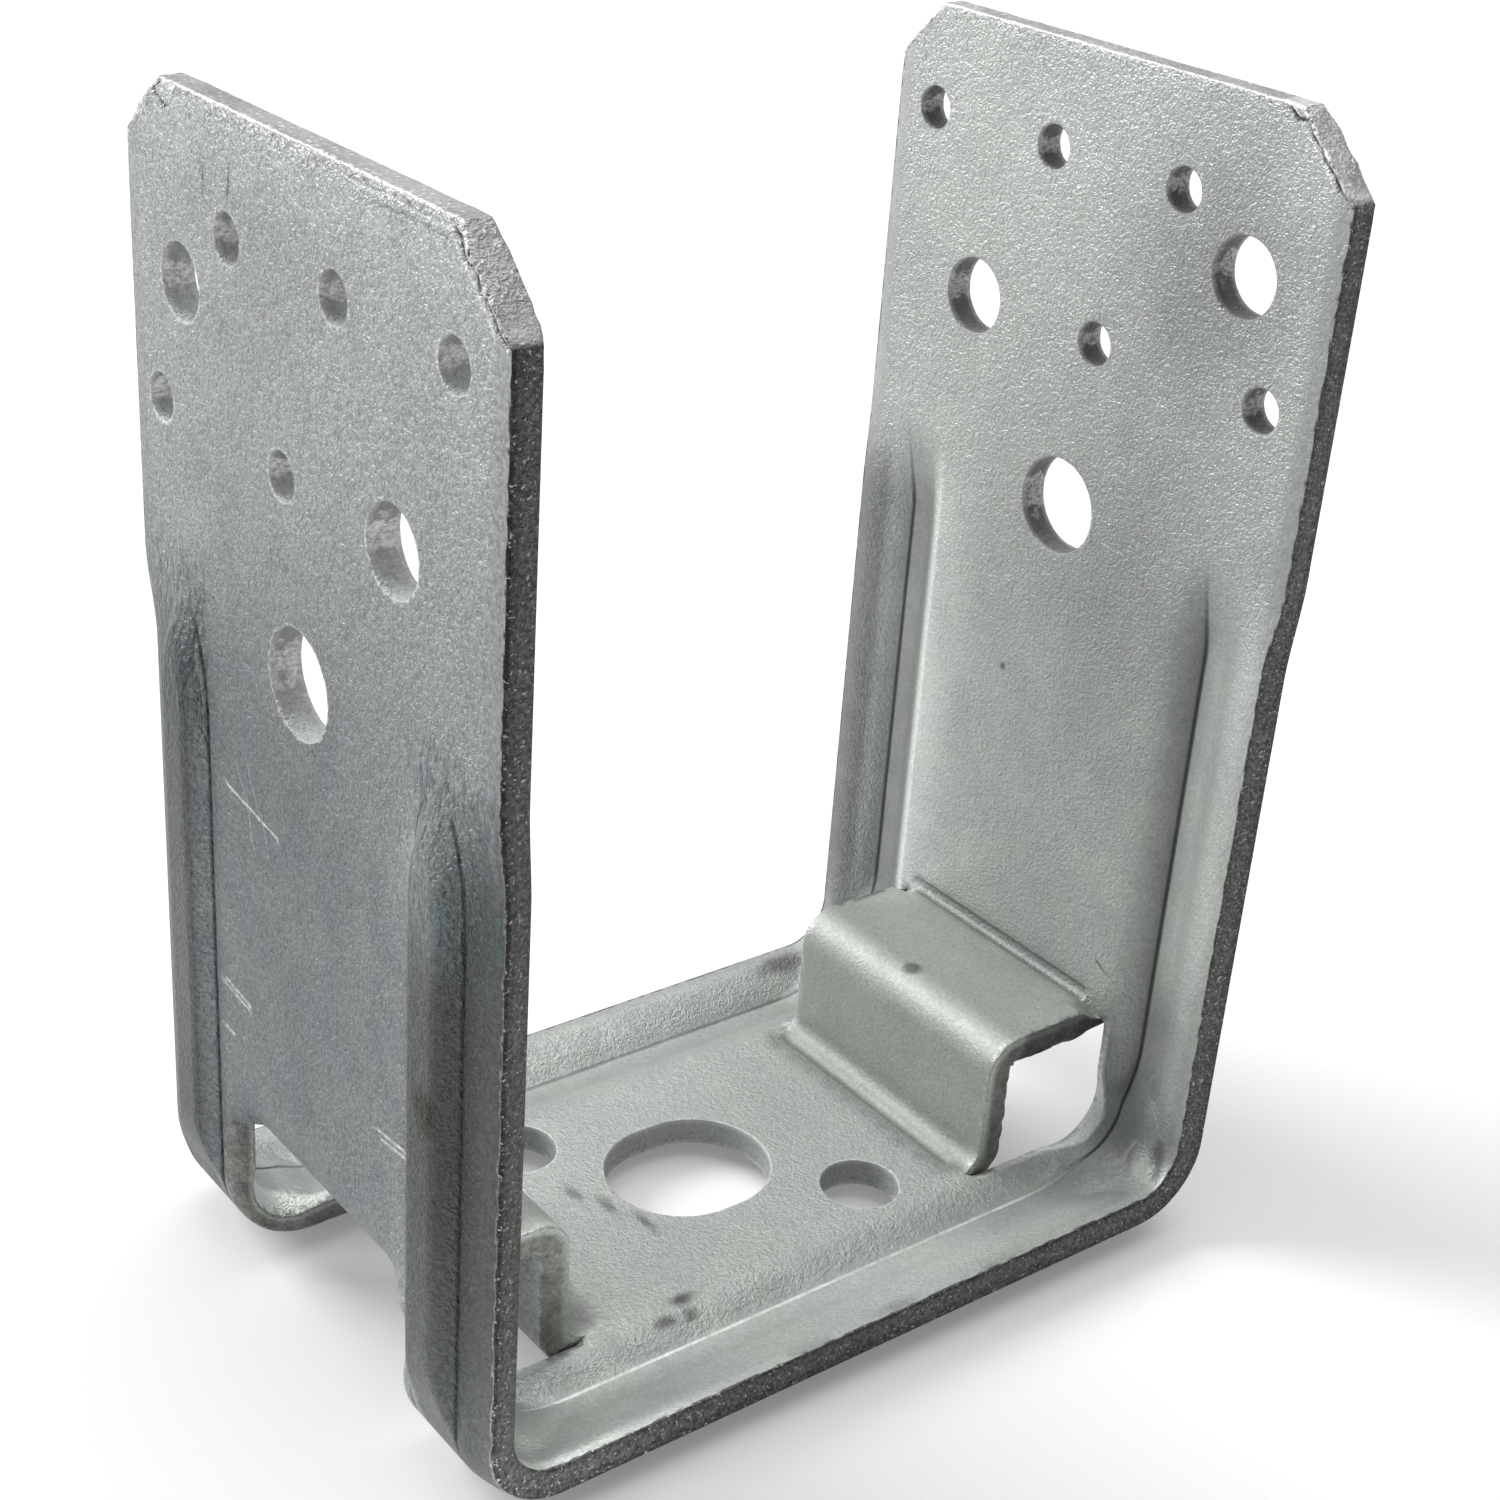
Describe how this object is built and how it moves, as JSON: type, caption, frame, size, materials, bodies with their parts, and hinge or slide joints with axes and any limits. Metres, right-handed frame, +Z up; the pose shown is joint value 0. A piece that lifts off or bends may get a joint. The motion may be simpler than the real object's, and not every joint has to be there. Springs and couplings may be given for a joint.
{
  "type": "post base",
  "caption": "U-shaped galvanised steel bracket that holds the foot of a timber post above concrete on two raised seats, with beaded edges.",
  "frame": {"origin": "on the floor under the middle of the base, level with the crests of its two beads", "axes": "+X from the left flange to the right one, across the post; +Y along the strip's width, away from the viewer of the picture; +Z up"},
  "size_m": [0.1018, 0.0664, 0.128],
  "materials": {
    "galvanised_steel": "matt grey zinc coat with a fine pebbled grain, darker on the cut edges"
  },
  "bodies": {
    "root": {"post_base": "galvanised_steel"}
  },
  "joints": []
}
